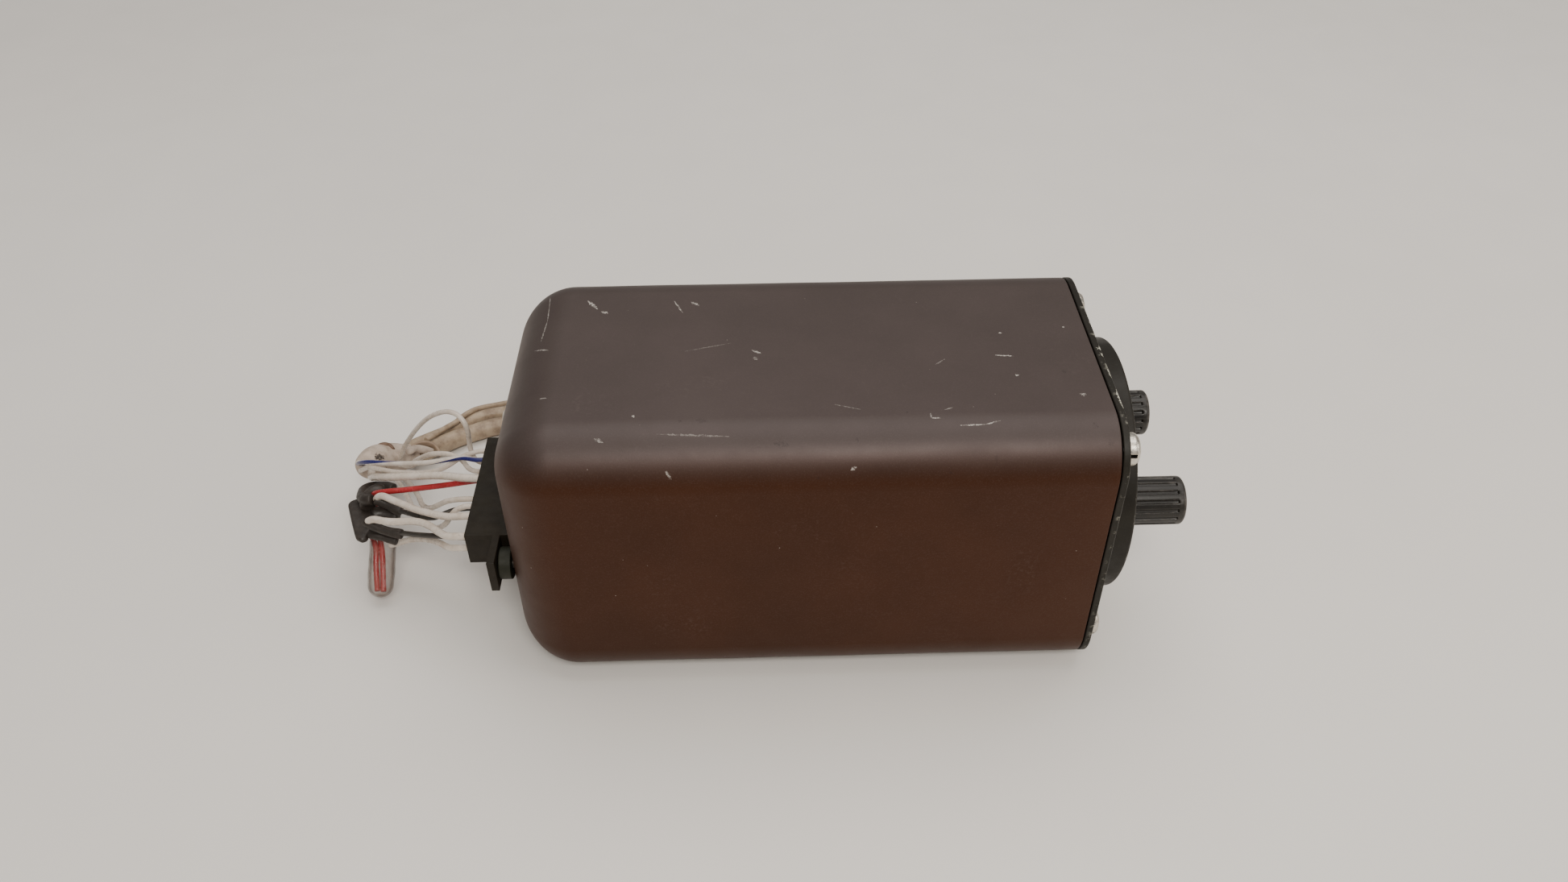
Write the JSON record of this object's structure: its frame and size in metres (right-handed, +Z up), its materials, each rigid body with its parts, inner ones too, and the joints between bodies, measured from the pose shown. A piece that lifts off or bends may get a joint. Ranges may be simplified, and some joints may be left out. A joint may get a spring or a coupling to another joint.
{
  "type": "panel-mount climate controller",
  "caption": "Square deep-can panel instrument with a round raised dial, fluted temperature and fan knobs, a rear edge connector and a short wire pigtail.",
  "frame": {"origin": "middle of the instrument's box, without its pigtail, on the surface that it lies on", "axes": "+X from the rear connector to the knobs, +Y from the temperature knob to the fan knob, +Z up"},
  "size_m": [0.2405, 0.1735, 0.0825],
  "materials": {
    "can": "satin black, faded to a warm grey",
    "bezel": "satin dark grey over cast aluminium, chipped on its edge",
    "dial": "matte black with pale markings",
    "knob": "satin moulded, fluted",
    "steel": "plated, worn",
    "dark_steel": "blackened",
    "chassis": "plain mill",
    "control": "moulded",
    "board": "lacquered glass-fibre laminate",
    "core": "varnished steel laminations",
    "relay": "moulded",
    "capacitor": "shrunk plastic skin",
    "black_plastic": "matte, slightly soft",
    "connector": "moulded, matte",
    "white_insulation": "slightly glossy, soiled",
    "blue_insulation": "white with a spiral blue stripe",
    "red_insulation": "glossy",
    "sheath": "beige, soiled",
    "wrap": "lacing tape, soiled",
    "clear_sleeve": "translucent, clouded"
  },
  "bodies": {
    "instrument": {"case_can": "can", "case_screw_1": "steel", "case_screw_2": "steel", "front_bezel": "bezel", "dial_plate": "dial", "corner_screw_1": "steel", "corner_screw_2": "steel", "corner_screw_3": "steel", "corner_screw_4": "steel", "chassis_post_1": "chassis", "chassis_post_2": "chassis", "chassis_post_3": "chassis", "chassis_post_4": "chassis", "rear_plate": "chassis", "board_rail_near": "chassis", "board_rail_far": "chassis", "main_board": "board", "transformer": "core", "fan_relay": "relay", "filter_capacitor": "capacitor", "heat_sink": "chassis", "power_transistor": "black_plastic", "temperature_potentiometer": "control", "fan_switch": "control", "temperature_nut": "steel", "fan_nut": "steel", "connector_housing": "connector", "connector_spacer_near": "black_plastic", "connector_spacer_far": "black_plastic", "connector_screw_near": "dark_steel", "connector_screw_far": "dark_steel", "wire_blue_stripe": "blue_insulation", "wire_white_1": "white_insulation", "wire_white_arch": "white_insulation", "wire_white_loop": "white_insulation", "wire_white_2": "white_insulation", "wire_red": "red_insulation", "wire_red_tail": "red_insulation", "wire_white_3": "white_insulation", "wire_white_4": "white_insulation", "wire_white_5": "white_insulation", "wire_white_6": "white_insulation", "wire_white_7": "white_insulation", "wire_black_1": "black_plastic", "wire_black_2": "black_plastic", "splice_sleeve_hook": "black_plastic", "splice_sleeve_middle": "black_plastic", "splice_sleeve_lower": "black_plastic", "cable_thick": "sheath", "cable_medium": "sheath", "cable_thin": "sheath", "harness_wrap": "wrap", "splice_tab": "black_plastic", "clear_sleeve": "clear_sleeve"},
    "temperature": {"temperature_knob": "knob", "temperature_set_screw": "steel", "temperature_shaft": "steel"},
    "fan": {"fan_knob": "knob", "fan_set_screw": "steel", "fan_shaft": "steel"}
  },
  "joints": [
    {"name": "temperature_turn", "type": "hinge", "parent": "instrument", "child": "temperature", "pos_m": [0.08, -0.019, 0.04328], "axis": [1, 0, 0], "range_deg": [-150, 150]},
    {"name": "fan_turn", "type": "hinge", "parent": "instrument", "child": "fan", "pos_m": [0.08, 0.019, 0.04328], "axis": [1, 0, 0], "range_deg": [-90, 0]}
  ]
}
